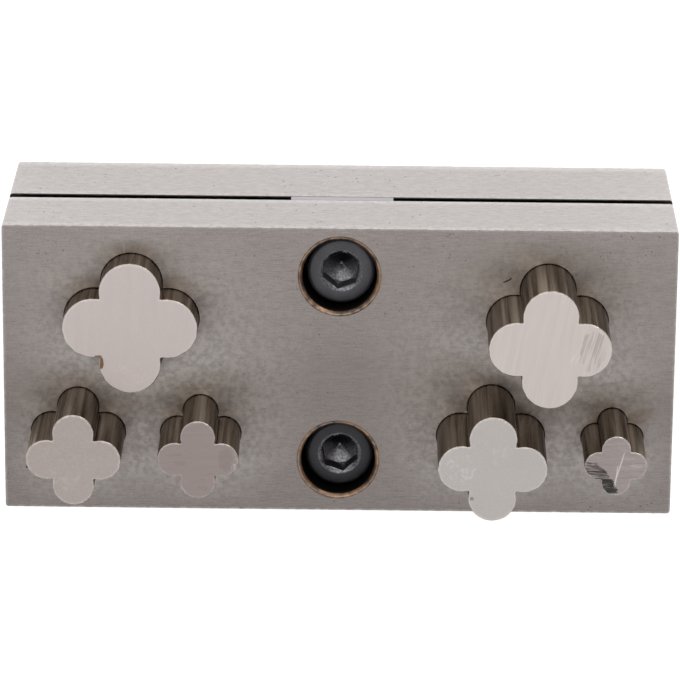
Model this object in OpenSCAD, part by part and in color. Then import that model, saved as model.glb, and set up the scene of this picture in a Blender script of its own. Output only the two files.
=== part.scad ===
// Quatrefoil disc cutter. A guide plate is screwed down over a die plate, with a
// spacer strip between them that leaves a slot for sheet metal on either side.
// Six loose four-lobed punches slide through both plates.
// X runs along the block, Y from the front edge to the back, Z up from the bench,
// and the origin is the middle of the underside.

/* [Block] */
// Length of both plates, left to right
block_l = 100; // [83:0.5:140]
// Depth of both plates, front to back
block_w = 44.4; // [37:0.1:70]
// Thickness of the upper plate, which guides the punches
guide_t = 14.3; // [11.5:0.1:25]
// Thickness of the lower plate, which the discs are cut against
die_t = 17.3; // [12:0.1:30]
// Height of the slot that the sheet metal slides into
slot_h = 1.7; // [0.8:0.1:4]
// Width of the strip that holds the plates apart
spacer_w = 15.4; // [14:0.1:18]
// Chamfer along the long and short edges of each plate
edge_chamfer = 0.2; // [0.05:0.05:0.6]
// Chamfer down the upright corners of each plate
corner_chamfer = 0.5; // [0.1:0.05:2]

/* [Punch layout] */
// Back row of punches, as a share of the way from the middle to the back edge
back_row = 0.358; // [0.34:0.001:0.42]
// Front row of punches, as a share of the way from the middle to the front edge
front_row = 0.453; // [0.44:0.001:0.5]
// Gap all round each punch in its holes
punch_gap = 0.1; // [0.03:0.01:0.1]
// Chamfer round the struck end of each punch
struck_chamfer = 0.15; // [0.05:0.05:0.25]

/* [Back left punch] */
// Distance out from the middle, as a share of the half length
back_left_out = 0.617; // [0.58:0.001:0.65]
// Width across opposite lobes
back_left_span = 20; // [16:0.1:24]
// Diameter of each lobe
back_left_lobe = 9.1; // [7.6:0.05:11]
// Height that it stands above the guide plate
back_left_proud = 5.3; // [1:0.1:25]

/* [Back right punch] */
// Distance out from the middle, as a share of the half length
back_right_out = 0.618; // [0.58:0.001:0.65]
// Width across opposite lobes
back_right_span = 18; // [15:0.1:21.6]
// Diameter of each lobe
back_right_lobe = 8.2; // [6.9:0.05:9.9]
// Height that it stands above the guide plate
back_right_proud = 13.2; // [1:0.1:25]

/* [Front left punch] */
// Distance out from the middle, as a share of the half length
front_left_out = 0.778; // [0.76:0.001:0.8]
// Width across opposite lobes
front_left_span = 14; // [11.6:0.1:16.8]
// Diameter of each lobe
front_left_lobe = 6.1; // [5.1:0.05:7.3]
// Height that it stands above the guide plate
front_left_proud = 12.7; // [1:0.1:25]

/* [Front inner left punch] */
// Distance out from the middle, as a share of the half length
front_inner_left_out = 0.412; // [0.4:0.001:0.44]
// Width across opposite lobes
front_inner_left_span = 12; // [10:0.1:14.4]
// Diameter of each lobe
front_inner_left_lobe = 5.15; // [4.3:0.05:6.2]
// Height that it stands above the guide plate
front_inner_left_proud = 12; // [1:0.1:25]

/* [Front inner right punch] */
// Distance out from the middle, as a share of the half length
front_inner_right_out = 0.456; // [0.44:0.001:0.48]
// Width across opposite lobes
front_inner_right_span = 16.1; // [13.4:0.1:19.3]
// Diameter of each lobe
front_inner_right_lobe = 7.05; // [5.9:0.05:8.5]
// Height that it stands above the guide plate
front_inner_right_proud = 14.7; // [1:0.1:25]

/* [Front right punch] */
// Distance out from the middle, as a share of the half length
front_right_out = 0.819; // [0.8:0.001:0.84]
// Width across opposite lobes
front_right_span = 9.2; // [7.6:0.1:11]
// Diameter of each lobe
front_right_lobe = 4.3; // [3.5:0.05:5.2]
// Height that it stands above the guide plate
front_right_proud = 12.7; // [1:0.1:25]

/* [Screws] */
// Thread diameter
thread_d = 6; // [5:0.1:7.2]
// Head diameter
head_d = 10; // [9:0.1:12]
// Head height
head_h = 6; // [4:0.1:7.2]
// Chamfer round the top of the head
head_chamfer = 0.4; // [0.1:0.05:0.8]
// Hexagon socket, across flats
socket_af = 5; // [4:0.1:6]
// Depth of the hexagon's straight sides
socket_depth = 3; // [2:0.1:3.6]
// Width of the chamfer between the hexagon's flats and the top of the head
socket_chamfer = 0.65; // [0.45:0.05:0.8]
// How far the head is sunk below the guide plate's top face
head_recess = 2.8; // [0.6:0.1:3.4]
// Turn of the back screw where it came up tight, in degrees
back_screw_turn = -10; // [-30:1:30]
// Turn of the front screw where it came up tight, in degrees
front_screw_turn = 11; // [-30:1:30]
// Gap all round a head in its counterbore
head_gap = 0.55; // [0.3:0.05:0.9]
// Chamfer round the mouth of a counterbore
mouth_chamfer = 0.55; // [0.1:0.05:0.8]
// Gap all round the shank in the guide plate and the spacer
shank_gap = 0.3; // [0.25:0.05:0.5]
// Steel left between the back counterbore's mouth and the back edge
back_screw_wall = 1.4; // [0.8:0.1:3]
// Steel left between the front counterbore's mouth and the front edge
front_screw_wall = 2; // [0.8:0.1:3]
// Least distance kept between a screw's tip and the underside
tip_room = 1.5; // [0.5:0.1:5]
// How far the tapped holes, the pins and the strip lie to the right of the middle
middle_drift = 0.2; // [0:0.05:0.2]

/* [Spring washers] */
// Thickness when squeezed flat
washer_t = 1.6; // [1:0.1:2]
// How far a washer's rim lies inside the rim of the head
washer_inset = 0.05; // [0:0.05:0.4]
// Gap all round the shank in a washer
washer_gap = 0.1; // [0.05:0.05:0.3]
// Width of the slanting split
washer_split = 0.8; // [0.4:0.1:1.5]
// Direction of the back washer's split, in degrees from the right
back_split_turn = 200; // [0:5:355]
// Direction of the front washer's split, in degrees from the right
front_split_turn = 140; // [0:5:355]

/* [Dowel pins] */
// Pin diameter
dowel_d = 4; // [3:0.1:4.8]
// Chamfer at both ends of a pin
dowel_chamfer = 0.4; // [0.1:0.05:0.8]
// Depth that a pin reaches into the guide plate
dowel_grip = 6.3; // [4:0.1:8]
// Distance of a pin's lower end above the underside
dowel_recess = 1.3; // [0.5:0.1:4]
// Width left between a pin and the edge of the spacer strip
dowel_side_wall = 1.7; // [1:0.1:2.5]
// Steel left between a pin and the counterbore next to it
dowel_well_wall = 1.6; // [1:0.1:2.5]

/* [Hidden] */

// Smoothness of round faces
$fn = 96;
// Slack round a pressed or threaded shank, so that solids meet without biting
fit_slack = 0.02;
// How far a cutting shape runs past the face that it opens
overrun = 1;
// Stock screw lengths come in steps of this
screw_step = 5;
// Angle of the drill point left in the bottom of a socket or a blind hole
drill_point = 118;
// Slant of a spring washer's split from upright, in degrees
split_slant = 30;
// Depth of a socket's chamfer for each millimetre of its width
lead_slope = 0.55;

guide_z = die_t + slot_h;
block_h = guide_z + guide_t;

// A punch's centre, from its shares of the half length and the half depth
function centre(out, row) = [out * block_l / 2, row * block_w / 2];

// Each punch: its centre, its width across the lobes, its lobe diameter and its length
BACK_LEFT = [centre(-back_left_out, back_row),
    back_left_span, back_left_lobe, block_h + back_left_proud];
BACK_RIGHT = [centre(back_right_out, back_row),
    back_right_span, back_right_lobe, block_h + back_right_proud];
FRONT_LEFT = [centre(-front_left_out, -front_row),
    front_left_span, front_left_lobe, block_h + front_left_proud];
FRONT_INNER_LEFT = [centre(-front_inner_left_out, -front_row),
    front_inner_left_span, front_inner_left_lobe, block_h + front_inner_left_proud];
FRONT_INNER_RIGHT = [centre(front_inner_right_out, -front_row),
    front_inner_right_span, front_inner_right_lobe, block_h + front_inner_right_proud];
FRONT_RIGHT = [centre(front_right_out, -front_row),
    front_right_span, front_right_lobe, block_h + front_right_proud];
PUNCHES = [BACK_LEFT, BACK_RIGHT, FRONT_LEFT, FRONT_INNER_LEFT, FRONT_INNER_RIGHT, FRONT_RIGHT];

// The screws' holes take their sizes from the screws
shank_hole_d = thread_d + 2 * shank_gap;
well_d = head_d + 2 * head_gap;
mouth_d = well_d + 2 * mouth_chamfer;
tapped_d = thread_d + 2 * fit_slack;
back_screw_y = block_w / 2 - back_screw_wall - mouth_d / 2;
front_screw_y = front_screw_wall + mouth_d / 2 - block_w / 2;
SCREWS = [[middle_drift, back_screw_y], [middle_drift, front_screw_y]];

// The pins stand inside the strip, one beside each screw, on opposite sides of the middle
dowel_hole_d = dowel_d + 2 * fit_slack;
dowel_x = spacer_w / 2 - dowel_side_wall - dowel_d / 2;
dowel_from_screw = sqrt(pow(well_d / 2 + dowel_well_wall + dowel_d / 2, 2) - pow(dowel_x, 2));
DOWELS = [[middle_drift - dowel_x, back_screw_y - dowel_from_screw],
    [middle_drift + dowel_x, front_screw_y + dowel_from_screw]];

// A washer lies on its counterbore's floor, and the head on the washer
head_top_z = block_h - head_recess;
head_seat_z = head_top_z - head_h;
well_z = head_seat_z - washer_t;
// The longest stock screw whose tip stays inside the block
screw_l = screw_step * floor((head_seat_z - tip_room) / screw_step);
dowel_l = guide_z + dowel_grip - dowel_recess;

plate_colour = [0.62, 0.60, 0.58];
punch_colour = [0.74, 0.71, 0.67];
spacer_colour = [0.83, 0.82, 0.87];
black_oxide = [0.20, 0.20, 0.22];
dowel_colour = [0.68, 0.68, 0.70];

// A rectangle about the middle with its four corners cut at 45 degrees
module cut_rectangle(size_x, size_y, cut) {
    x = size_x / 2;
    y = size_y / 2;
    polygon([[x - cut, -y], [x, cut - y], [x, y - cut], [x - cut, y],
        [cut - x, y], [-x, y - cut], [-x, cut - y], [cut - x, -y]]);
}

// A plate of the block's outline, chamfered along all twelve edges
module block_plate(thickness, base_z) {
    translate([0, 0, base_z + thickness / 2])
        intersection() {
            translate([0, 0, -thickness / 2])
                linear_extrude(thickness)
                    cut_rectangle(block_l, block_w, corner_chamfer);
            rotate([90, 0, 0])
                translate([0, 0, -block_w / 2])
                    linear_extrude(block_w)
                        cut_rectangle(block_l, thickness, edge_chamfer);
            rotate([90, 0, 90])
                translate([0, 0, -block_l / 2])
                    linear_extrude(block_l)
                        cut_rectangle(block_w, thickness, edge_chamfer);
        }
}

// Four round lobes on a square core, grown all round by gap
module quatrefoil(span, lobe_d, gap = 0) {
    reach = (span - lobe_d) / 2;
    square(reach + 2 * gap, center = true);
    for (turn = [0:90:270])
        rotate(turn)
            translate([reach, 0])
                circle(d = lobe_d + 2 * gap);
}

// The six quatrefoil holes, cut right through a plate
module punch_holes(thickness, base_z) {
    for (punch = PUNCHES)
        translate([punch[0][0], punch[0][1], base_z - overrun])
            linear_extrude(thickness + 2 * overrun)
                quatrefoil(punch[1], punch[2], punch_gap);
}

// A round hole of diameter d between two heights
module round_hole(at, d, from_z, to_z) {
    translate([at[0], at[1], from_z])
        cylinder(h = to_z - from_z, d = d);
}

// Lower plate: the discs are cut against its upper edges and drop out below
module die_plate() {
    color(plate_colour)
        difference() {
            block_plate(die_t, 0);
            punch_holes(die_t, 0);
            for (at = SCREWS)
                round_hole(at, tapped_d, -overrun, die_t + overrun);
            for (at = DOWELS)
                round_hole(at, dowel_hole_d, -overrun, die_t + overrun);
        }
}

// Flat-bottomed counterbore with a chamfered mouth, and the shank's hole below it
module screw_well(y) {
    round_hole([0, y], shank_hole_d, guide_z - overrun, well_z + overrun);
    round_hole([0, y], well_d, well_z, block_h + overrun);
    translate([0, y, block_h - mouth_chamfer])
        cylinder(h = 2 * mouth_chamfer, d1 = well_d, d2 = well_d + 4 * mouth_chamfer);
}

// Upper plate: keeps the punches upright and hides the screw heads
module guide_plate() {
    blind_z = guide_z + dowel_grip + dowel_chamfer;
    color(plate_colour)
        difference() {
            block_plate(guide_t, guide_z);
            punch_holes(guide_t, guide_z);
            for (at = SCREWS)
                screw_well(at[1]);
            for (at = DOWELS) {
                round_hole(at, dowel_hole_d, guide_z - overrun, blind_z);
                translate([at[0], at[1], blind_z])
                    cylinder(h = dowel_hole_d / 2 / tan(drill_point / 2), d1 = dowel_hole_d, d2 = 0);
            }
        }
}

// Strip as long as the block is deep, flush with it at the front and the back
module spacer_strip() {
    color(spacer_colour)
        difference() {
            translate([middle_drift - spacer_w / 2, -block_w / 2, die_t])
                cube([spacer_w, block_w, slot_h]);
            for (at = SCREWS)
                round_hole(at, shank_hole_d, die_t - overrun, guide_z + overrun);
            for (at = DOWELS)
                round_hole(at, dowel_hole_d, die_t - overrun, guide_z + overrun);
        }
}

// Socket head cap screw, turned by an angle where it came up tight
module cap_screw(at, turn) {
    thread_r = thread_d / 2;
    head_r = head_d / 2;
    tip_chamfer = thread_d / 10;
    total_h = screw_l + head_h;
    lead_h = socket_chamfer * lead_slope;
    point_h = socket_af / 2 / tan(drill_point / 2);
    color(black_oxide)
        translate([at[0], at[1], head_seat_z - screw_l])
            rotate(30 + turn)
                difference() {
                    rotate_extrude()
                        polygon([[0, 0], [thread_r - tip_chamfer, 0], [thread_r, tip_chamfer],
                            [thread_r, screw_l], [head_r, screw_l], [head_r, total_h - head_chamfer],
                            [head_r - head_chamfer, total_h], [0, total_h]]);
                    translate([0, 0, total_h - socket_depth])
                        cylinder(h = socket_depth + overrun, d = socket_af / cos(30), $fn = 6);
                    translate([0, 0, total_h - socket_depth - point_h])
                        cylinder(h = point_h, d1 = 0, d2 = socket_af);
                    translate([0, 0, total_h - lead_h])
                        cylinder(h = 2 * lead_h, d1 = socket_af, d2 = socket_af + 4 * socket_chamfer);
                }
}

// Split ring, squeezed flat between the head and the counterbore's floor
module spring_washer(at, turn) {
    color(black_oxide)
        translate([at[0], at[1], well_z])
            rotate(turn)
                difference() {
                    cylinder(h = washer_t, d = head_d - 2 * washer_inset);
                    translate([0, 0, -overrun])
                        cylinder(h = washer_t + 2 * overrun, d = thread_d + 2 * washer_gap);
                    translate([0, -washer_split / 2, washer_t / 2])
                        rotate([split_slant, 0, 0])
                            translate([0, 0, -2 * washer_t])
                                cube([head_d, washer_split, 4 * washer_t]);
                }
}

// Straight pin: tight in the die plate, through the strip, blind in the guide plate
module dowel_pin(at) {
    r = dowel_d / 2;
    color(dowel_colour)
        translate([at[0], at[1], dowel_recess])
            rotate_extrude()
                polygon([[0, 0], [r - dowel_chamfer, 0], [r, dowel_chamfer], [r, dowel_l - dowel_chamfer],
                    [r - dowel_chamfer, dowel_l], [0, dowel_l]]);
}

// Punch with a sharp cutting end on the bench and a chamfered struck end on top
module punch(p) {
    lobe_r = p[2] / 2;
    reach = p[1] / 2 - lobe_r;
    length = p[3];
    color(punch_colour)
        translate([p[0][0], p[0][1], 0]) {
            linear_extrude(length)
                square(reach, center = true);
            for (turn = [0:90:270])
                rotate(turn)
                    translate([reach, 0])
                        rotate_extrude()
                            polygon([[0, 0], [lobe_r, 0], [lobe_r, length - struck_chamfer],
                                [lobe_r - struck_chamfer, length], [0, length]]);
        }
}

module cap_screw_back() { cap_screw(SCREWS[0], back_screw_turn); }
module cap_screw_front() { cap_screw(SCREWS[1], front_screw_turn); }
module spring_washer_back() { spring_washer(SCREWS[0], back_split_turn); }
module spring_washer_front() { spring_washer(SCREWS[1], front_split_turn); }
module dowel_pin_left() { dowel_pin(DOWELS[0]); }
module dowel_pin_right() { dowel_pin(DOWELS[1]); }
module punch_back_left() { punch(BACK_LEFT); }
module punch_back_right() { punch(BACK_RIGHT); }
module punch_front_left() { punch(FRONT_LEFT); }
module punch_front_inner_left() { punch(FRONT_INNER_LEFT); }
module punch_front_inner_right() { punch(FRONT_INNER_RIGHT); }
module punch_front_right() { punch(FRONT_RIGHT); }

die_plate();
guide_plate();
spacer_strip();
cap_screw_back();
cap_screw_front();
spring_washer_back();
spring_washer_front();
dowel_pin_left();
dowel_pin_right();
punch_back_left();
punch_back_right();
punch_front_left();
punch_front_inner_left();
punch_front_inner_right();
punch_front_right();
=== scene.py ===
# %% [markdown]
# # Finishing a disc cutter
#
# The object is a jeweller's disc cutter: two ground steel plates, one screwed over the other with a thin
# strip between them, and six loose punches whose ends have the shape of a four-leaved flower. The packed
# model gives every piece its size and its place. This lesson gives the pieces the surfaces that the real
# ones have: edges that are broken by a stone and nicked by use, faces with grinding lines, browned
# counterbores, oiled black screws with a rolled thread, and punches that have been filed and struck.

# %% The frame
import math

import bmesh
import bpy
import numpy as np
from mathutils import Euler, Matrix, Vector
from mathutils.geometry import delaunay_2d_cdt


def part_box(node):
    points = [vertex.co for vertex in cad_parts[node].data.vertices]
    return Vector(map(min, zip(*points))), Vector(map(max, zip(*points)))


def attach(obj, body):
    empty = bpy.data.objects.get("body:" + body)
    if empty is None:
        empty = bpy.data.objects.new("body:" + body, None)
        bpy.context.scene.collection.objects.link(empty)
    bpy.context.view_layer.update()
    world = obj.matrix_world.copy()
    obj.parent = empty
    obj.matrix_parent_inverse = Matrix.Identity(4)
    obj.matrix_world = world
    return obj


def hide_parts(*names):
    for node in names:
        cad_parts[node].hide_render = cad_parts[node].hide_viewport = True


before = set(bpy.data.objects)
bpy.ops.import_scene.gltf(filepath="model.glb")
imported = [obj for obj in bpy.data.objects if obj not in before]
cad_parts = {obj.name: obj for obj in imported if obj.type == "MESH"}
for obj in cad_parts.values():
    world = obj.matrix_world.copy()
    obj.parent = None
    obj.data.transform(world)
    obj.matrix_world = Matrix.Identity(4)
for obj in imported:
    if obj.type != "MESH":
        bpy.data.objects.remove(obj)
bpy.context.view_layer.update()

MM = 0.001
PHOTO_SIDE = 680

# %% [markdown]
# ## The camera
#
# A long lens looks down on the struck ends of the punches from behind the block, 18 degrees off square,
# so that the back side shows above the face. The picture is square. The camera has no shift, because the
# middle of the picture lies on its axis.

# %% Camera
FOCAL_PIXELS = 4558.4
CAMERA_PLACE_MM = (3.88, 218.75, 676.31)
CAMERA_TURN_DEG = (-18.400, 0.498, 0.494)

camera_data = bpy.data.cameras.new("camera")
camera_data.sensor_width = 36.0
camera_data.lens = FOCAL_PIXELS * camera_data.sensor_width / PHOTO_SIDE
camera_data.clip_start = 0.01
camera = bpy.data.objects.new("camera", camera_data)
camera.location = [place * MM for place in CAMERA_PLACE_MM]
camera.rotation_euler = Euler([math.radians(turn) for turn in CAMERA_TURN_DEG], "XYZ")
bpy.context.scene.collection.objects.link(camera)
bpy.context.scene.camera = camera
print("lens of %.1f mm" % camera_data.lens)

# %% [markdown]
# ## Sizes from the frame
#
# The frame knows the box of every piece, so the heights of the faces, the middles of the holes and the
# widths of the punches are read from it and not written a second time. Only what a box can't tell is
# written here, such as the diameter of a punch's lobes.

# %% Sizes
def box_mm(node):
    """A node's lowest and highest corner, in millimetres."""
    low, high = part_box(node)
    return np.array(low) / MM, np.array(high) / MM


DIE_LOW, DIE_HIGH = box_mm("die_plate")
GUIDE_LOW, GUIDE_HIGH = box_mm("guide_plate")
STRIP_LOW, STRIP_HIGH = box_mm("spacer_strip")

PUNCH_LOBES = {
    "punch_back_left": 9.1,
    "punch_back_right": 8.2,
    "punch_front_left": 6.1,
    "punch_front_inner_left": 5.15,
    "punch_front_inner_right": 7.05,
    "punch_front_right": 4.3,
}
HOLE_GAP = 0.1
WELL_RADIUS = 5.55
MOUTH_WIDTH = 0.36
WELL_SCREW_DEPTH = 10.4
SHANK_HOLE_RADIUS = 3.3
TAPPED_RADIUS = 3.02
DOWEL_HOLE_RADIUS = 2.02


def middle(node):
    """The middle of a node's box, seen from above."""
    low, high = box_mm(node)
    return (low[:2] + high[:2]) / 2


print("block %.1f x %.1f x %.1f mm" % tuple(GUIDE_HIGH - DIE_LOW))

# %% [markdown]
# ## Shells
#
# Every new piece is one closed shell. It is put together from grids: a grid's rows are closed curves, and
# the next row is the same curve moved a little, as a lathe or a grinding wheel would leave it. A flat
# face with holes in it isn't a grid, so the space between its curves is filled with triangles that share
# the curves' own points. Because every part of a shell shares its points with the next, nothing has to
# be merged afterwards. Each point also carries a number that says how much its edge is worn.

# %% The shell helper
class Shell:
    """Collects the points and faces of one closed piece, in millimetres."""

    def __init__(self):
        self.points, self.worn, self.faces, self.slots, self.smooth = [], [], [], [], []
        self.count = 0

    def add_faces(self, corners, slot, smooth=True):
        """Adds an array of faces, all with the same number of corners."""
        self.faces.append(corners)
        self.slots.append(np.broadcast_to(slot, len(corners)))
        self.smooth.append(np.full(len(corners), smooth))

    def grid(self, points, worn=0.0, slot=0):
        """Adds rows of points, each row closed on itself, with four-cornered faces between the rows.

        points has the shape (rows, columns, 3), worn has one value for each row, and slot is one number
        or one for each band between two rows. Gives the indices back.
        """
        rows, columns = points.shape[:2]
        index = self.count + np.arange(rows * columns).reshape(rows, columns)
        self.points.append(points.reshape(-1, 3))
        self.worn.append(np.repeat(np.broadcast_to(worn, rows), columns))
        beside = np.roll(index, -1, axis=1)
        quads = np.stack([index[:-1], beside[:-1], beside[1:], index[1:]], axis=-1)
        self.add_faces(quads.reshape(-1, 4), np.repeat(np.broadcast_to(slot, rows - 1), columns))
        self.count += rows * columns
        return index

    def cap(self, ring, apex, slot=0):
        """Closes a ring of indices with triangles that meet in one new point."""
        self.points.append(np.array([apex], float))
        self.worn.append(np.zeros(1))
        beside = np.roll(ring, -1)
        self.add_faces(np.stack([ring, beside, np.full_like(ring, self.count)], axis=-1), slot)
        self.count += 1

    def fill(self, loops, slot=0):
        """Fills the flat space between closed loops of indices with triangles.

        A triangle belongs to the face if a line from its middle crosses the loops an odd number of times.
        """
        everything = np.concatenate(self.points)
        ids = np.concatenate(loops)
        flat = everything[ids, :2]
        starts = np.cumsum([0] + [len(loop) for loop in loops[:-1]])
        heads = np.concatenate([s + np.arange(len(loop)) for s, loop in zip(starts, loops)])
        tails = np.concatenate([s + np.roll(np.arange(len(loop)), -1) for s, loop in zip(starts, loops)])
        edges = list(zip(heads.tolist(), tails.tolist()))
        made = delaunay_2d_cdt([Vector(p) for p in flat], edges, [], 0, 1e-6)
        source = np.array([olds[0] if olds else -1 for olds in made[3]])
        assert source.min() >= 0, "two loops cross"
        triangles = source[np.array(made[2])]
        mid = flat[triangles].mean(axis=1)
        a, b = flat[heads], flat[tails]
        spans = (a[None, :, 1] > mid[:, None, 1]) != (b[None, :, 1] > mid[:, None, 1])
        slope = (b[:, 0] - a[:, 0]) / np.where(a[:, 1] == b[:, 1], 1.0, b[:, 1] - a[:, 1])
        crossing = a[None, :, 0] + (mid[:, None, 1] - a[None, :, 1]) * slope[None]
        inside = (spans & (crossing > mid[:, None, 0])).sum(axis=1) % 2 == 1
        self.add_faces(ids[triangles[inside]], slot, smooth=False)

    def build(self, name, node, body, sharp_deg=40.0):
        """Turns the shell into an object that stands for a node and rides on a body."""
        mesh = bpy.data.meshes.new(name)
        points = np.concatenate(self.points) * MM
        mesh.from_pydata(points.tolist(), [], [face for group in self.faces for face in group.tolist()])
        mesh.polygons.foreach_set("material_index", np.concatenate(self.slots).astype(np.int32))
        worn = mesh.attributes.new("worn", "FLOAT", "POINT")
        worn.data.foreach_set("value", np.concatenate(self.worn).astype(np.float32))
        edit = bmesh.new()
        edit.from_mesh(mesh)
        bmesh.ops.recalc_face_normals(edit, faces=edit.faces)
        edit.to_mesh(mesh)
        edit.free()
        mesh.polygons.foreach_set("use_smooth", np.concatenate(self.smooth))
        mesh.set_sharp_from_angle(angle=math.radians(sharp_deg))
        lay_tangents(mesh)
        piece = bpy.data.objects.new(name, mesh)
        bpy.context.scene.collection.objects.link(piece)
        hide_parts(node)
        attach(piece, body)
        print("%s: %d points, %d faces" % (name, len(mesh.vertices), len(mesh.polygons)))
        return piece


def lay_tangents(mesh):
    """Writes a map whose first direction runs along the grinding lines of a face.

    The lines run along X on every face but the two ends, where they run along Y. Across them is Y on
    the upper and lower faces and Z on the upright ones.
    """
    corners = len(mesh.loops)
    vertex = np.empty(corners, np.int32)
    mesh.loops.foreach_get("vertex_index", vertex)
    place = np.empty(len(mesh.vertices) * 3, np.float32)
    mesh.vertices.foreach_get("co", place)
    place = place.reshape(-1, 3)[vertex]
    normal = np.empty(len(mesh.polygons) * 3, np.float32)
    mesh.polygons.foreach_get("normal", normal)
    total = np.empty(len(mesh.polygons), np.int32)
    mesh.polygons.foreach_get("loop_total", total)
    normal = np.abs(np.repeat(normal.reshape(-1, 3), total, axis=0))
    flat = normal[:, 2] > np.maximum(normal[:, 0], normal[:, 1])
    end = ~flat & (normal[:, 0] > normal[:, 1])
    across = np.where(flat, place[:, 1], place[:, 2])
    along = np.where(end, place[:, 1], place[:, 0])
    layer = mesh.uv_layers.new(name="lines")
    layer.data.foreach_set("uv", np.stack([along, across], axis=-1).astype(np.float32).ravel())


def lay_rings(mesh, centre):
    """Writes the same map for turned parts: its first direction runs around the centre.

    A corner's place on the map is its angle, measured from the middle of its own face so that no face
    lies across the start of the circle, and its distance from the centre.
    """
    corners, faces = len(mesh.loops), len(mesh.polygons)
    vertex, total = np.empty(corners, np.int32), np.empty(faces, np.int32)
    mesh.loops.foreach_get("vertex_index", vertex)
    mesh.polygons.foreach_get("loop_total", total)
    place, middles = np.empty(len(mesh.vertices) * 3, np.float32), np.empty(faces * 3, np.float32)
    mesh.vertices.foreach_get("co", place)
    mesh.polygons.foreach_get("center", middles)
    place = place.reshape(-1, 3)[vertex] - (*centre, 0)
    middles = np.repeat(middles.reshape(-1, 3) - (*centre, 0), total, axis=0)
    start = np.arctan2(middles[:, 1], middles[:, 0])
    turned = (np.arctan2(place[:, 1], place[:, 0]) - start + math.pi) % (2 * math.pi) - math.pi
    distance = np.hypot(place[:, 0], place[:, 1])
    spread_out = np.stack([turned * np.hypot(middles[:, 0], middles[:, 1]), distance], axis=-1)
    mesh.uv_layers["lines"].data.foreach_set("uv", spread_out.astype(np.float32).ravel())


# %% [markdown]
# ## Outlines
#
# Three closed curves are enough for the whole tool: the flower of a punch or of its hole, a circle and
# the block's rectangle with its corners taken off. Each comes as points and as the direction that
# faces away from the steel at that point, so that an edge can be drawn back from it.

# %% Outlines
def flower(span, lobe, notch=0.2, gap=0.0, lobe_steps=30, notch_steps=6):
    """The outline of four round lobes, as points and outward directions.

    A lobe is an arc about a point at reach from the middle. The corner between two lobes is a small arc
    about a point on the diagonal, whose distance from a lobe's middle is the sum of both radii. The gap
    widens the lobes and tightens the corners by as much.
    """
    radius, small = lobe / 2 + gap, notch - gap
    reach = (span - lobe) / 2
    diagonal = (reach + math.sqrt(2 * (radius + small) ** 2 - reach**2)) / 2
    meet = math.atan2(diagonal, diagonal - reach)
    turn = np.linspace(-meet, meet, lobe_steps)
    away = np.stack([np.cos(turn), np.sin(turn)], axis=-1)
    lobe_points = np.array([reach, 0]) + radius * away
    turn = np.linspace(math.pi + meet, 1.5 * math.pi - meet, notch_steps + 2)[1:-1]
    inward = np.stack([np.cos(turn), np.sin(turn)], axis=-1)
    notch_points = diagonal + small * inward
    points = np.concatenate([lobe_points, notch_points])
    away = np.concatenate([away, -inward])
    quarter = np.array([[[1, 0], [0, 1]], [[0, -1], [1, 0]], [[-1, 0], [0, -1]], [[0, 1], [-1, 0]]])
    return (np.einsum("qij,nj->qni", quarter, points).reshape(-1, 2),
            np.einsum("qij,nj->qni", quarter, away).reshape(-1, 2))


def circle(radius, steps=96):
    """Points on a circle about the middle, and their outward directions."""
    turn = np.linspace(0, 2 * math.pi, steps, endpoint=False)
    away = np.stack([np.cos(turn), np.sin(turn)], axis=-1)
    return radius * away, away


def cut_rectangle(size_x, size_y, corner=0.5, spacing=0.5):
    """A rectangle with rounded corners, walked round at an even pace, and its outward directions."""
    half = np.array([size_x, size_y]) / 2 - corner
    points, away = [], []
    for quarter, (sx, sy) in enumerate([(1, 1), (-1, 1), (-1, -1), (1, -1)]):
        turn = np.linspace(0, math.pi / 2, 6) + quarter * math.pi / 2
        arc = np.stack([np.cos(turn), np.sin(turn)], axis=-1)
        points.append(half * [sx, sy] + corner * arc)
        away.append(arc)
        nx, ny = [(-1, 1), (-1, -1), (1, -1), (1, 1)][quarter]
        start, stop = points[-1][-1], half * [nx, ny] + corner * arc[-1]
        steps = int(np.linalg.norm(stop - start) / spacing)
        share = np.linspace(0, 1, steps + 1)[1:-1, None]
        points.append(start + (stop - start) * share)
        away.append(np.repeat(arc[-1:], steps - 1, axis=0))
    return np.concatenate(points), np.concatenate(away)


def carry(outline, profile, centre=(0, 0)):
    """Carries a profile round an outline.

    A profile is a list of (offset, height): how far the outline is moved along its outward directions,
    and the height that it has there. Either may be one number or one number for each point of the
    outline. The result has one row of points for each entry.
    """
    points, away = outline
    rows = []
    for offset, height in profile:
        flat = np.asarray(centre) + points + away * np.broadcast_to(offset, len(points))[:, None]
        rows.append(np.column_stack([flat, np.broadcast_to(height, len(points))]))
    return np.array(rows)


def wander(steps, waves, seed):
    """A smooth random curve round a closed outline, between about -1 and 1.

    It is a sum of sine waves that each go a whole number of times round, with random phases.
    """
    draw = np.random.default_rng(seed)
    turn = np.linspace(0, 2 * math.pi, steps, endpoint=False)
    counts = draw.integers(waves // 3, waves, 12)
    phases = draw.uniform(0, 2 * math.pi, 12)
    return np.sin(turn[None] * counts[:, None] + phases[:, None]).sum(axis=0) / 4


# %% [markdown]
# ## The plates
#
# Each plate is sawn from bar, ground on all six faces, drilled, counterbored and wire cut. The grinder
# leaves sharp edges, which are broken with a stone by hand, so they are narrow, rounded and a little
# uneven. An edge is therefore a quarter circle whose radius wanders along it. Beside each edge runs a
# narrow land that is flat. It keeps the roundness of the edge off the flat face, and it is where
# the wear that the edge carries fades out.

# %% Edges
EDGE_STEPS = 4
LAND = 0.3


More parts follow.
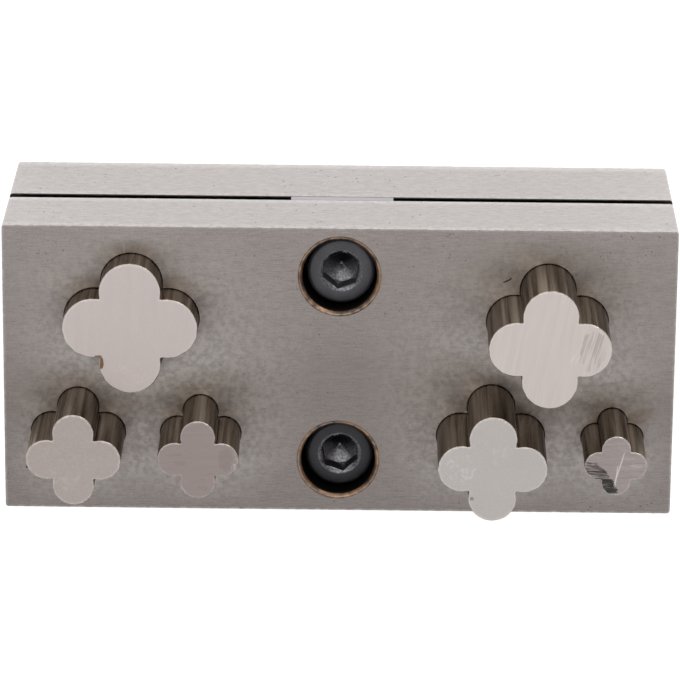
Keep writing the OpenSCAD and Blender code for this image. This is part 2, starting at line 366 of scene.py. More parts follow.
def broken_edge(radius, height, down, side, land):
    """Profile from a flat face over a rounded edge to a wall, and how worn each row is.

    With the angle going from 0 to 90 degrees, the edge lies radius * (1 - sin) in from the wall and
    radius * (1 - cos) from the face. side is 1 for an outer edge and -1 for the edge of a hole, and
    down is -1 if the wall goes down from the face.
    """
    turns = np.linspace(0, math.pi / 2, EDGE_STEPS + 1)
    edge = [(-side * radius * (1 - math.sin(t)), height + down * radius * (1 - math.cos(t))) for t in turns]
    start = [(-side * (radius + land), height)] if land else []
    return start + edge, [0.0] * len(start) + [1.0] * len(edge)


def through_wall(outline, centre, low, high, radius, side, rows=2, land=LAND):
    """Rows from the upper face over its edge, down the wall and over the lower edge to the lower face."""
    top, worn_top = broken_edge(radius, high, -1, side, land)
    bottom, worn_bottom = broken_edge(radius, low, 1, side, land)
    share = np.linspace(0, 1, rows + 2)[1:-1]
    wall = [(0.0, high - radius + (low - high + 2 * radius) * s) for s in share]
    worn = worn_top + [0.0] * rows + worn_bottom[::-1]
    return carry(outline, top + wall + bottom[::-1], centre), np.array(worn)


OUTER_EDGE = 0.13
HOLE_EDGE = 0.05
BLOCK_OUTLINE = cut_rectangle(GUIDE_HIGH[0] - GUIDE_LOW[0], GUIDE_HIGH[1] - GUIDE_LOW[1])

GROUND, HOLE_WALL, COUNTERBORE = 0, 1, 2


def punch_hole(node):
    """The flower outline of a punch's hole, and its middle."""
    low, high = box_mm(node)
    return flower(high[0] - low[0], PUNCH_LOBES[node], gap=HOLE_GAP), middle(node)


def plate_sides(shell, low, high, seed):
    """The four sides of a plate with their upper and lower edges. Gives both face loops."""
    steps = len(BLOCK_OUTLINE[0])
    radius = OUTER_EDGE * (1 + 0.3 * wander(steps, 260, seed))
    points, worn = through_wall(BLOCK_OUTLINE, (0, 0), low, high, radius, 1, rows=6)
    index = shell.grid(points, worn, GROUND)
    return index[0], index[-1]


def plate_holes(shell, low, high, tops, bottoms):
    """The six flower holes of a plate. Their face loops join the lists tops and bottoms."""
    for node in PUNCH_LOBES:
        outline, centre = punch_hole(node)
        points, worn = through_wall(outline, centre, low, high, HOLE_EDGE, -1, rows=4, land=0)
        shell_rows = shell.grid(points, worn, HOLE_WALL)
        tops.append(shell_rows[0])
        bottoms.append(shell_rows[-1])


# %% [markdown]
# The guide plate has the two counterbores. A counterbore is turned by a cutter with a pilot, and its
# mouth is opened with a countersink. Its rows go from the face over the chamfer, down the wall, across
# the floor and down the hole for the shank. Faint ridges, one for each turn of the feed, stay on its
# wall.

# %% Guide plate
SCREW_PLACES = [middle("cap_screw_back"), middle("cap_screw_front")]
DOWEL_PLACES = [middle("dowel_pin_left"), middle("dowel_pin_right")]
FEED_RIDGE = 0.012
DRILLED_EDGE = 0.1
DRILL_HALF_ANGLE = math.radians(59)


def counterbore(shell, y):
    """The rows of one counterbore and the hole below it. Gives the loops on both faces."""
    top, bottom = GUIDE_HIGH[2], GUIDE_LOW[2]
    floor = top - WELL_SCREW_DEPTH
    mouth = WELL_RADIUS + MOUTH_WIDTH
    soft = 0.04
    chamfer = [(mouth + LAND, top), (mouth + soft, top), (mouth + 0.2 * soft, top - 0.3 * soft),
               (mouth - soft, top - soft), (WELL_RADIUS + soft, top - MOUTH_WIDTH + soft),
               (WELL_RADIUS + 0.2 * soft, top - MOUTH_WIDTH - 0.2 * soft),
               (WELL_RADIUS, top - MOUTH_WIDTH - soft)]
    worn = [0.0, 0.8, 1.0, 0.3, 0.0, 0.6, 0.3]
    depth = np.linspace(top - MOUTH_WIDTH - 2 * soft, floor + 0.2, 40)
    wall = [(WELL_RADIUS - FEED_RIDGE * (n % 2), z) for n, z in enumerate(depth)]
    ground = [(WELL_RADIUS - 0.05, floor + 0.04), (WELL_RADIUS - 0.2, floor)]
    edge = SHANK_HOLE_RADIUS + DRILLED_EDGE
    ground += [(edge, floor), (SHANK_HOLE_RADIUS, floor - DRILLED_EDGE)]
    exit_edge = [(SHANK_HOLE_RADIUS, bottom + DRILLED_EDGE), (edge, bottom), (edge + LAND, bottom)]
    profile = chamfer + wall + ground + exit_edge
    worn += [0.0] * (len(profile) - len(worn))
    # The outline is a point at the middle, so that each offset is a radius
    _, away = circle(1.0, 120)
    index = shell.grid(carry((0 * away, away), profile, (0.0, y)), np.array(worn), COUNTERBORE)
    return index[0], index[-1]


def blind_hole(shell, centre, radius, face, depth):
    """A drilled hole that opens downwards, with the cone that the drill's point leaves."""
    cone = radius / math.tan(DRILL_HALF_ANGLE)
    _, away = circle(1.0, 48)
    profile = [(radius + DRILLED_EDGE + LAND, face), (radius + DRILLED_EDGE, face),
               (radius, face + DRILLED_EDGE), (radius, face + depth)]
    index = shell.grid(carry((0 * away, away), profile, centre), np.array([0, 1, 1, 0]), HOLE_WALL)
    shell.cap(index[-1], (*centre, face + depth + cone), HOLE_WALL)
    return index[0]


def build_guide_plate():
    """The upper plate."""
    shell = Shell()
    top, bottom = plate_sides(shell, GUIDE_LOW[2], GUIDE_HIGH[2], 11)
    tops, bottoms = [top], [bottom]
    plate_holes(shell, GUIDE_LOW[2], GUIDE_HIGH[2], tops, bottoms)
    for place in SCREW_PLACES:
        mouth, under = counterbore(shell, place[1])
        tops.append(mouth)
        bottoms.append(under)
    grip = box_mm("dowel_pin_left")[1][2] - GUIDE_LOW[2] + 0.4
    for place in DOWEL_PLACES:
        bottoms.append(blind_hole(shell, place, DOWEL_HOLE_RADIUS, GUIDE_LOW[2], grip))
    shell.fill(tops, GROUND)
    shell.fill(bottoms, GROUND)
    return shell.build("guide_plate_finished", "guide_plate", "block")


guide_plate = build_guide_plate()

# %% [markdown]
# The die plate has the two tapped holes. A thread is a ridge that climbs one pitch for each turn. On a
# grid of angle by height, the radius is the outer one less the thread's depth times a triangle wave of
# (height / pitch - turn / full turn). The depth fades to nothing at both faces, where the real hole is
# countersunk, so that the hole's ends are plain circles.

# %% Die plate
PITCH = 1.0
THREAD_DEPTH = 0.54


def thread_height(turn, height):
    """How far the thread's ridge stands up, from 0 in the groove to 1 on the crest, flattened there."""
    phase = height / PITCH - turn / (2 * math.pi)
    triangle = 1 - np.abs(2 * (phase - np.floor(phase)) - 1)
    return np.clip(1.35 * triangle - 0.15, 0, 1)


def tapped_hole(shell, centre, low, high):
    """A tapped hole through the die plate, whose groove takes the ridge of the screw's thread."""
    steps, rise = 64, np.linspace(low + 0.4, high - 0.4, 140)
    turn = np.linspace(0, 2 * math.pi, steps, endpoint=False)
    fade = np.clip(np.minimum(rise - low - 0.4, high - 0.4 - rise) / 0.8, 0, 1)
    ridge = 1 - thread_height(turn[None], rise[:, None])
    radius = TAPPED_RADIUS - THREAD_DEPTH * ridge * fade[:, None]
    wide = TAPPED_RADIUS + 0.35
    radius = np.vstack([np.full((2, steps), [[wide + LAND], [wide]]), radius,
                        np.full((2, steps), [[wide], [wide + LAND]])])
    height = np.concatenate([[low, low], rise, [high, high]])
    points = np.stack([centre[0] + radius * np.cos(turn), centre[1] + radius * np.sin(turn),
                       np.broadcast_to(height[:, None], radius.shape)], axis=-1)
    index = shell.grid(points, 0.0, HOLE_WALL)
    return index[-1], index[0]


def build_die_plate():
    """The lower plate."""
    shell = Shell()
    low, high = DIE_LOW[2], DIE_HIGH[2]
    top, bottom = plate_sides(shell, low, high, 12)
    tops, bottoms = [top], [bottom]
    plate_holes(shell, low, high, tops, bottoms)
    for place in SCREW_PLACES:
        above, under = tapped_hole(shell, place, low, high)
        tops.append(above)
        bottoms.append(under)
    for place in DOWEL_PLACES:
        points, worn = through_wall(circle(DOWEL_HOLE_RADIUS, 48), place, low, high, 0.1, -1)
        index = shell.grid(points, worn, HOLE_WALL)
        tops.append(index[0])
        bottoms.append(index[-1])
    shell.fill(tops, GROUND)
    shell.fill(bottoms, GROUND)
    return shell.build("die_plate_finished", "die_plate", "block")


die_plate = build_die_plate()

# %% [markdown]
# ## The spacer strip
#
# The strip is a slip of soft white metal, cut to length with shears and filed flush with the block. The
# screws and the dowels go through it. Its edges are only touched with the file.

# %% Spacer strip
def build_spacer_strip():
    """The strip between the plates."""
    shell = Shell()
    low, high = STRIP_LOW[2], STRIP_HIGH[2]
    outline = cut_rectangle(STRIP_HIGH[0] - STRIP_LOW[0], STRIP_HIGH[1] - STRIP_LOW[1], 0.05)
    points, worn = through_wall(outline, middle("spacer_strip"), low, high, 0.03, 1, land=0)
    index = shell.grid(points, worn)
    tops, bottoms = [index[0]], [index[-1]]
    holes = [(SHANK_HOLE_RADIUS, place) for place in SCREW_PLACES]
    holes += [(DOWEL_HOLE_RADIUS, place) for place in DOWEL_PLACES]
    for radius, place in holes:
        points, worn = through_wall(circle(radius, 48), place, low, high, 0.03, -1, land=0)
        index = shell.grid(points, worn)
        tops.append(index[0])
        bottoms.append(index[-1])
    shell.fill(tops)
    shell.fill(bottoms)
    return shell.build("spacer_strip_finished", "spacer_strip", "block")


spacer_strip = build_spacer_strip()

# %% [markdown]
# ## The cap screws
#
# A cap screw is forged and its thread is rolled. Its head has a knurl round the side, a small chamfer on
# top and a hexagon socket whose upper edge is opened by a cone. The distance from the axis to a
# hexagon's side is half its width divided by the cosine of the angle from the middle of that side, so
# the socket is a grid too: angle by step. Where the cone meets the hexagon its depth is the distance from the
# cone's rim times the cone's slope, which gives the six scallops that every such socket has.

# %% Cap screws
SOCKET_FLATS = 5.0
SOCKET_DEPTH = 3.0
SOCKET_RIM = 0.65
RIM_SLOPE = 0.55
HEAD_CHAMFER = 0.4
HEAD_HEIGHT = 6.0
SKIN, TURNED = 0, 1
SCREW_TURN_DEG = {"cap_screw_back": -10, "cap_screw_front": 11}


def build_cap_screw(node):
    """One screw, from the middle of its tip over thread, head and socket to the socket's middle."""
    low, high = box_mm(node)
    centre = (low[:2] + high[:2]) / 2
    head = (high[0] - low[0]) / 2
    tip, top = low[2], high[2]
    seat = top - HEAD_HEIGHT
    steps = 288
    turn = np.linspace(0, 2 * math.pi, steps, endpoint=False)
    flat = np.ones(steps)
    shank = TAPPED_RADIUS - 0.02

    rise = np.linspace(tip + 0.5, seat - 1.0, 170)
    fade = np.clip(np.minimum(rise - tip - 0.5, seat - 1.0 - rise) / 0.5, 0, 1)[:, None]
    crest = thread_height(turn[None], rise[:, None])
    thread = shank - (THREAD_DEPTH - 0.05) * (1 - crest) * fade - 0.02 * fade

    knurl = 0.09 * np.abs(np.sin(turn * 36))
    side = np.linspace(seat + 0.25, top - HEAD_CHAMFER - 0.35, 3)
    # The corners of the hexagon lie at 0, 60, 120 degrees and so on from the screw's own turn
    within = (turn - math.radians(SCREW_TURN_DEG[node]) - math.radians(30)) % (math.pi / 3) - math.pi / 6
    hexagon = SOCKET_FLATS / 2 / np.cos(within)
    rim = SOCKET_FLATS / 2 + SOCKET_RIM
    scallop = top - (rim - hexagon) * RIM_SLOPE
    soft = 0.06

    rows = [(0.4 * flat, tip), (1.6 * flat, tip), ((shank - 0.5) * flat, tip)]
    rows += list(zip(thread, rise))
    rows += [(shank * flat, seat - 0.5), ((shank + 0.2) * flat, seat), ((head - 0.3) * flat, seat),
             ((head - 0.05) * flat, seat + 0.12)]
    rows += [(head - knurl, height) for height in side]
    rows += [(head * flat, top - HEAD_CHAMFER - 0.2), (head * flat, top - HEAD_CHAMFER),
             ((head - 0.08) * flat, top - HEAD_CHAMFER + 0.12),
             ((head - HEAD_CHAMFER + 0.08) * flat, top - 0.06),
             ((head - HEAD_CHAMFER - 0.08) * flat, top)]
    rows += [((rim + 0.12) * flat, top), ((rim + soft) * flat, top), (rim * flat, top - 0.4 * soft)]
    rows += [(hexagon + 0.5 * soft, scallop + 0.2 * soft), (hexagon, scallop - 0.5 * soft)]
    rows += [(hexagon, (top - SOCKET_DEPTH + 0.02) * flat), (hexagon - 0.04, (top - SOCKET_DEPTH) * flat)]
    cone = np.linspace(1, 0.12, 8) * SOCKET_FLATS / 2
    rows += [(radius * flat, top - SOCKET_DEPTH - (SOCKET_FLATS / 2 - radius) * 0.6) for radius in cone]
    bands = np.full(len(rows) - 1, SKIN)
    bands[-len(cone):] = TURNED
    bands[-len(cone) - 6:-len(cone) - 3] = TURNED

    shell = Shell()
    points = np.array([np.column_stack([centre[0] + radius * np.cos(turn), centre[1] + radius * np.sin(turn),
                                        np.broadcast_to(height, steps)]) for radius, height in rows])
    index = shell.grid(points, slot=bands)
    shell.cap(index[0], (*centre, tip), SKIN)
    shell.cap(index[-1], (*centre, top - SOCKET_DEPTH - SOCKET_FLATS / 2 * 0.6), TURNED)
    screw = shell.build(node + "_finished", node, "block", 30.0)
    lay_rings(screw.data, centre)
    return screw


cap_screws = [build_cap_screw(node) for node in SCREW_TURN_DEG]

# %% [markdown]
# ## The punches
#
# A punch is wire cut from bar, with the grain of the cut along it. Its struck end is filed, and each has
# been filed in its own way: one has a facet on a lobe, another has a side bevelled off. The rows of the
# grid go from the middle of the cutting end over its sharp edge, up the side, over the struck edge and in
# to the middle. On the struck end a row is the outline drawn in towards the middle, and its height
# is the punch's own less the depth of whatever the file has taken.

# %% Punches
CUT_SIDE, STRUCK_FACE, CUTTING_END = 0, 1, 2
STRUCK_EDGE = 0.16
CUTTING_EDGE = 0.02


def build_punch(node, facets=()):
    """One punch. A facet is (direction in degrees, start as a share of the half width, slope)."""
    low, high = box_mm(node)
    span = high[0] - low[0]
    outline = flower(span, PUNCH_LOBES[node], lobe_steps=40)
    centre = middle(node)
    steps = len(outline[0])
    seed = sorted(PUNCH_LOBES).index(node) + 20
    radius = STRUCK_EDGE * (1 + 0.35 * wander(steps, 60, seed))
    turns = np.linspace(0, math.pi / 2, 5)
    foot, length = low[2] + CUTTING_EDGE, high[2] - low[2] - STRUCK_EDGE * 1.6
    base = [(-CUTTING_EDGE * (1 - math.sin(t)), foot - CUTTING_EDGE * math.cos(t)) for t in turns[[0, 4]]]
    side = [(0.0, foot + length * share) for share in np.linspace(0.1, 1, 9)]
    edge = [(-radius * (1 - math.cos(t)), high[2] - radius * (1 - math.sin(t))) for t in turns]
    rows = carry(outline, base + side + edge, centre)
    worn = [1.0] * 2 + [0.0] * 9 + [0.6, 1.0, 1.0, 1.0, 1.0]
    shares = np.linspace(1, 0.06, 26)[1:, None, None]
    rim = rows[-1]
    mid = np.array([*centre, high[2]])
    face = mid + (rim - mid)[None] * shares
    rows = np.concatenate([rows, face])
    worn += [0.0] * len(face)
    for direction, start, slope in facets:
        toward = np.array([math.cos(math.radians(direction)), math.sin(math.radians(direction))])
        beyond = (rows[..., :2] - centre) @ toward - start * span / 2
        near_top = rows[..., 2] > high[2] - 1.0
        rows[..., 2] -= np.where(near_top, np.clip(beyond, 0, None) * slope, 0)
    shell = Shell()
    bands = np.where(np.arange(len(rows) - 1) < len(rows) - len(face) - 2, CUT_SIDE, STRUCK_FACE)
    index = shell.grid(rows, np.array(worn), bands)
    shell.cap(index[0], (*centre, low[2]), CUTTING_END)
    shell.cap(index[-1], mid, STRUCK_FACE)
    return shell.build(node + "_finished", node, node.replace("punch_", ""))


FACETS = {
    "punch_front_left": [(215, 0.55, 0.12)],
    "punch_front_inner_left": [(0, 0.5, 0.05)],
}
punches = {node: build_punch(node, FACETS.get(node, ())) for node in PUNCH_LOBES}

# %% [markdown]
# ## Building materials
#
# A material is a graph of nodes. The helper below makes one node, sets its values and links its inputs
# in one call, so that a material reads from its pattern to its shader like a recipe.

# %% Node helper
def node(tree, kind, links=None, **settings):
    """Adds a node. links maps an input's name or number to a socket to link or a value to set."""
    made = tree.nodes.new("ShaderNode" + kind)
    for name, value in settings.items():
        setattr(made, name, value)
    for name, value in (links or {}).items():
        if isinstance(value, bpy.types.NodeSocket):
            tree.links.new(value, made.inputs[name])
        else:
            made.inputs[name].default_value = value
    return made


def math_node(tree, operation, first, second=0.0):
    """The result of one sum, product or the like."""
    return node(tree, "Math", {0: first, 1: second}, operation=operation).outputs[0]


def noise(tree, vector, detail, scale=1.0):
    """Soft random patches, about one for each unit of the vector times the scale."""
    return node(tree, "TexNoise", {"Vector": vector, "Scale": scale, "Detail": detail}).outputs[0]


def spread(tree, value, low, high, to_low=0.0, to_high=1.0):
    """A value stretched from one range to another and kept inside the new one."""
    return node(tree, "MapRange", {0: value, 1: low, 2: high, 3: to_low, 4: to_high}).outputs[0]


def blend(tree, share, first, second):
    """A colour between two others."""
    mixed = node(tree, "Mix", data_type="RGBA")
    for socket, value in ((mixed.inputs[0], share), (mixed.inputs[6], first), (mixed.inputs[7], second)):
        if isinstance(value, bpy.types.NodeSocket):
            tree.links.new(value, socket)
        elif isinstance(value, tuple):
            socket.default_value = (*value, 1.0)
        else:
            socket.default_value = value
    return mixed.outputs[2]


def placed(tree, centre_mm=(0, 0, 0), turn_deg=0.0, size_mm=(1, 1, 1)):
    """Object coordinates, moved to a centre, turned, and measured in the size of one pattern feature."""
    place = node(tree, "TexCoord").outputs["Object"]
    return node(tree, "Mapping", {
        "Vector": place,
        "Location": [value * MM for value in centre_mm],
        "Rotation": (0, 0, math.radians(turn_deg)),
        "Scale": [value * MM for value in size_mm],
    }, vector_type="TEXTURE").outputs[0]


def new_material(name):
    """An empty material with its shader, both ready to be linked."""
    made = bpy.data.materials.new(name)
    made.use_nodes = True
    return made, made.node_tree, made.node_tree.nodes["Principled BSDF"]


def dress(tree, shader, **links):
    """Links or sets the shader's inputs. An underscore in a name stands for a space."""
    for name, value in links.items():
        socket = shader.inputs[name.replace("_", " ")]
        if isinstance(value, bpy.types.NodeSocket):
            tree.links.new(value, socket)
        else:
            socket.default_value = (*value, 1.0) if isinstance(value, tuple) else value


# %% [markdown]
# ## Effects that several finishes share
#
# Grinding, wire cutting and filing all leave long thin lines, and they differ only in how long and how
# wide these are. One group makes them: noise in coordinates that are measured in line lengths along the
# lines and in line widths across them. A second group breaks the worn edges up, so that a bright edge
# comes and goes. A third makes small pits, which lie in clusters as they do in real bar.

# %% Shared groups
def new_group(name, inputs, outputs):
    """An empty node group with its sockets, its input node and its output node."""
    tree = bpy.data.node_groups.new(name, "ShaderNodeTree")
    for label, kind, value in inputs:
        socket = tree.interface.new_socket(label, in_out="INPUT", socket_type="NodeSocket" + kind)
        if value is not None:
            socket.default_value = value
    for label in outputs:
        tree.interface.new_socket(label, in_out="OUTPUT", socket_type="NodeSocketFloat")
    return tree, tree.nodes.new("NodeGroupInput"), tree.nodes.new("NodeGroupOutput")


def make_streaks():
    """Lines along the first direction of the vector, from 0 to 1: fine ones over broad ones."""
    tree, given, result = new_group("Streaks", [("Vector", "Vector", None), ("Broad share", "Float", 0.35)],
                                    ["Streaks"])
    fine = noise(tree, given.outputs["Vector"], 3.0)
    broad = noise(tree, given.outputs["Vector"], 2.0, 0.22)
    both = node(tree, "Mix", {0: given.outputs["Broad share"], 2: fine, 3: broad}).outputs[0]
    tree.links.new(spread(tree, both, 0.32, 0.68), result.inputs["Streaks"])
    return tree


def make_wear():
    """The worn edge, broken up: the edge number of the mesh times patches of noise."""
    inputs = [("Vector", "Vector", None), ("Edge", "Float", 0.0)]
    tree, given, result = new_group("Edge wear", inputs, ["Wear"])
    patches = noise(tree, given.outputs["Vector"], 4.0)
    kept = spread(tree, patches, 0.38, 0.62, 0.25, 1.0)
    tree.links.new(math_node(tree, "MULTIPLY", given.outputs["Edge"], kept), result.inputs["Wear"])
    return tree


def make_pits():
    """Small dark pits, 1 in the middle of a pit, in clusters."""
    tree, given, result = new_group("Pits", [("Vector", "Vector", None), ("Amount", "Float", 0.5)], ["Pits"])
    cell = node(tree, "TexVoronoi", {"Vector": given.outputs["Vector"], "Scale": 1.0})
    dot = spread(tree, cell.outputs["Distance"], 0.06, 0.16, 1.0, 0.0)
    cluster = noise(tree, given.outputs["Vector"], 2.0, 0.12)
    limit = math_node(tree, "SUBTRACT", 1.0, given.outputs["Amount"])
    limit = math_node(tree, "ADD", math_node(tree, "MULTIPLY", limit, 0.4), 0.35)
    dense = math_node(tree, "GREATER_THAN", cluster, limit)
    tree.links.new(math_node(tree, "MULTIPLY", dot, dense), result.inputs["Pits"])
    return tree


def make_patch():
    """A soft-edged ball of radius 1: its ragged edge takes up the outer third."""
    inputs = [("Vector", "Vector", None), ("Ragged", "Float", 0.5)]
    tree, given, result = new_group("Patch", inputs, ["Patch"])
    far = node(tree, "VectorMath", {0: given.outputs["Vector"]}, operation="LENGTH").outputs["Value"]
    ragged = noise(tree, given.outputs["Vector"], 3.0, 2.0)
    shift = math_node(tree, "MULTIPLY", math_node(tree, "SUBTRACT", ragged, 0.5), given.outputs["Ragged"])
    tree.links.new(spread(tree, math_node(tree, "ADD", far, shift), 1.0, 0.67), result.inputs["Patch"])
    return tree


STREAKS, WEAR, PITS, PATCH = make_streaks(), make_wear(), make_pits(), make_patch()


def use(tree, group, **links):
    """A group placed in a material, with its own values. Gives its one output."""
    made = tree.nodes.new("ShaderNodeGroup")
    made.node_tree = group
    for name, value in links.items():
        socket = made.inputs[name.replace("_", " ")]
        if isinstance(value, bpy.types.NodeSocket):
            tree.links.new(value, socket)
        else:
            socket.default_value = value
    return made.outputs[0]


def patch(tree, centre_mm, turn_deg, half_mm, height_mm=0.0, half_height_mm=1000.0):
    """1 in the middle of a soft-edged oval, 0 outside it, seen along Z."""
    place = placed(tree, (*centre_mm, height_mm), turn_deg, (*half_mm, half_height_mm))
    return use(tree, PATCH, Vector=place)


def line_direction(tree):
    """Which way the lines run here, as the mesh's map says. The shine spreads across them."""
    return node(tree, "Tangent", direction_type="UV_MAP", uv_map="lines").outputs[0]


def edge_number(tree):
    """How worn the edge is here, as the mesh says."""
    return node(tree, "Attribute", attribute_name="worn").outputs["Fac"]


# %% [markdown]
# ## Ground steel
#
# A surface grinder leaves short parallel scratches. They make the steel dull across the lines and shiny
# along them, so a reflection smears at right angles to the lines. The shader's anisotropy does that, with
# the direction taken from the map that the mesh carries. The scratches themselves are drawn as streaks
# in the colour and as a height that is only microns deep. The upright faces were ground more roughly than
# the working face, so they are mottled and have larger pits. Inside the slot the steel is painted nearly
# black as shade, and this painted shade reaches a little way over the edges. The plate's colour darkens
# towards the front and lightens a little towards its right end, and the plate's few scratches and its one
# stain are soft ovals at their own places.

# %% Ground steel
STEEL_DARK = (0.295, 0.272, 0.261)
STEEL_LIGHT = (0.560, 0.525, 0.508)
# How much the plate's colour darkens towards the front
FRONT_DARKENING = 0.40
SIDE_MOTTLE = 0.30


# Scratches, dents and a stain on the guide plate: middle, direction, half lengths, depth and colour
PLATE_MARKS = [
    ((24.8, 14.3), 25, (0.85, 0.16), 0.85, (0.03, 0.025, 0.02)),
    ((25.3, 14.6), 55, (0.3, 0.12), 0.8, (0.03, 0.025, 0.02)),
    ((-46.7, -15.8), 0, (0.2, 0.2), 0.9, (0.02, 0.02, 0.02)),
    ((45.1, -6.7), 20, (2.6, 1.3), 0.45, (0.28, 0.22, 0.16)),
    ((-31.9, 18.5), 95, (1.3, 0.10), 0.5, (0.75, 0.73, 0.70)),
]


def lines_vector(tree, length_mm, width_mm):
    """Coordinates with the lines along X, but along Y on the two ends of the block."""
    coordinates = node(tree, "TexCoord")
    place = node(tree, "SeparateXYZ", {0: coordinates.outputs["Object"]})
    turned = node(tree, "CombineXYZ", {0: place.outputs["Y"], 1: place.outputs["Z"], 2: place.outputs["X"]})
    facing = node(tree, "SeparateXYZ", {0: coordinates.outputs["Normal"]}).outputs["X"]
    end = math_node(tree, "GREATER_THAN", math_node(tree, "ABSOLUTE", facing), 0.7)
    straight = coordinates.outputs["Object"]
    chosen = node(tree, "Mix", {0: end, 4: straight, 5: turned.outputs[0]}, data_type="VECTOR").outputs[1]
    size = (length_mm * MM, width_mm * MM, width_mm * MM)
    return node(tree, "Mapping", {"Vector": chosen, "Scale": size}, vector_type="TEXTURE").outputs[0]


# How far the painted shade of the slot reaches over its edges, in millimetres
SLOT_SHADE_SPILL = 0.18


def inside_slot(tree):
    """Where the slot's painted shade goes: 1 on the two faces that look at each other across the slot, and on
    the edges round them.
    """
    height = node(tree, "SeparateXYZ", {0: node(tree, "TexCoord").outputs["Object"]}).outputs["Z"]
    slot = math_node(tree, "COMPARE", height, (DIE_HIGH[2] + GUIDE_LOW[2]) / 2 * MM)
    slot.node.inputs[2].default_value = ((GUIDE_LOW[2] - DIE_HIGH[2]) / 2 + SLOT_SHADE_SPILL) * MM
    return slot


def make_ground_steel():
    """The faces of the two plates."""
    made, tree, shader = new_material("ground_steel")
    lines = use(tree, STREAKS, Vector=lines_vector(tree, 2.0, 0.18), Broad_share=0.25)
    grain = noise(tree, lines_vector(tree, 0.30, 0.16), 2.0)
    scratches = node(tree, "Mix", {0: 0.4, 2: lines, 3: spread(tree, grain, 0.3, 0.7)}).outputs[0]
    pits = use(tree, PITS, Vector=placed(tree, size_mm=(0.9, 0.9, 0.9)), Amount=0.5)
    wear = use(tree, WEAR, Vector=placed(tree, size_mm=(0.8, 0.8, 0.8)), Edge=edge_number(tree))
    place = node(tree, "SeparateXYZ", {0: node(tree, "TexCoord").outputs["Object"]})
    # The colour darkens towards the front of the plate and lightens a little towards its right end
    front = spread(tree, place.outputs["Y"], 0.022, -0.022, 0.08, FRONT_DARKENING)
    dull = math_node(tree, "SUBTRACT", front, spread(tree, place.outputs["X"], 0.030, 0.050, 0.0, 0.06))
    colour = blend(tree, scratches, STEEL_DARK, STEEL_LIGHT)
    colour = blend(tree, dull, colour, (0.10, 0.085, 0.085))
    facing = node(tree, "SeparateXYZ", {0: node(tree, "TexCoord").outputs["Normal"]}).outputs["Z"]
    upright = spread(tree, math_node(tree, "ABSOLUTE", facing), 0.7, 0.3)
    mottle = spread(tree, noise(tree, lines_vector(tree, 1.6, 0.42), 5.0), 0.38, 0.66, 0.0, SIDE_MOTTLE)
    holes = use(tree, PITS, Vector=placed(tree, size_mm=(1.7, 1.7, 2.2)), Amount=0.6)
    rough_side = math_node(tree, "MULTIPLY", math_node(tree, "MAXIMUM", mottle, holes), upright)
    colour = blend(tree, rough_side, colour, (0.14, 0.12, 0.12))
    colour = blend(tree, math_node(tree, "MULTIPLY", pits, 0.75), colour, (0.05, 0.045, 0.04))
    colour = blend(tree, math_node(tree, "MULTIPLY", wear, 0.6), colour, (0.62, 0.60, 0.58))
    for centre_mm, turn_deg, half_mm, depth, tone in PLATE_MARKS:
        oval = patch(tree, centre_mm, turn_deg, half_mm, GUIDE_HIGH[2], 3.0)
        colour = blend(tree, math_node(tree, "MULTIPLY", oval, depth), colour, tone)
    # Painted shade: the faces inside the narrow slot, and a little of the edges round it, are painted nearly
    # black
    colour = blend(tree, inside_slot(tree), colour, (0.055, 0.050, 0.047))
    roughness = spread(tree, lines, 0.0, 1.0, 0.30, 0.42)
    bump = node(tree, "Bump", {"Height": lines, "Distance": 0.000004, "Strength": 0.12})
    dress(tree, shader, Base_Color=colour, Metallic=1.0, Roughness=roughness, Anisotropic=0.95,
          Normal=bump.outputs[0], Tangent=line_direction(tree))
    return made


# %% [markdown]
# ## Wire-cut holes, counterbores, strip and pins
#
# A wire cut is matt and dull grey, with faint lines along the wire. The counterbore was browned by the
# heat of its cutter at the mouth, and further down it is painted black as the shade deep in the well, so
# its colour depends on the height.

# %% Holes, strip and pins
def make_wire_cut():
    """The walls of the punch holes, the tapped holes and the dowel holes."""
    made, tree, shader = new_material("wire_cut")
    lines = use(tree, STREAKS, Vector=placed(tree, size_mm=(0.08, 0.08, 3.0)), Broad_share=0.5)
    wear = use(tree, WEAR, Vector=placed(tree, size_mm=(0.6, 0.6, 0.6)), Edge=edge_number(tree))
    colour = blend(tree, lines, (0.10, 0.085, 0.07), (0.20, 0.175, 0.15))
    colour = blend(tree, math_node(tree, "MULTIPLY", wear, 0.3), colour, (0.4, 0.38, 0.36))
    dress(tree, shader, Base_Color=colour, Metallic=0.9, Roughness=spread(tree, lines, 0, 1, 0.4, 0.55))
    return made


BROWN_DEPTH = 0.5


def make_counterbore():
    """Brown at the mouth, painted black below as the shade deep in the well, with a bright rim where the edge
    has been knocked.
    """
    made, tree, shader = new_material("browned_counterbore")
    height = node(tree, "SeparateXYZ", {0: node(tree, "TexCoord").outputs["Object"]}).outputs["Z"]
    face = GUIDE_HIGH[2] * MM
    depth = spread(tree, height, face - (BROWN_DEPTH + 0.25) * MM, face - BROWN_DEPTH * MM)
    tint = noise(tree, placed(tree, size_mm=(1.6, 1.6, 1.6)), 4.0)
    brown = blend(tree, spread(tree, tint, 0.35, 0.65), (0.035, 0.020, 0.013), (0.25, 0.145, 0.080))
    # Painted shade: below the brown mouth the well is painted nearly black
    colour = blend(tree, depth, (0.012, 0.011, 0.010), brown)
    wear = use(tree, WEAR, Vector=placed(tree, size_mm=(0.9, 0.9, 0.9)), Edge=edge_number(tree))
    colour = blend(tree, math_node(tree, "MULTIPLY", wear, 0.6), colour, (0.62, 0.52, 0.45))
    dress(tree, shader, Base_Color=colour, Metallic=0.85, Roughness=0.38)
    return made


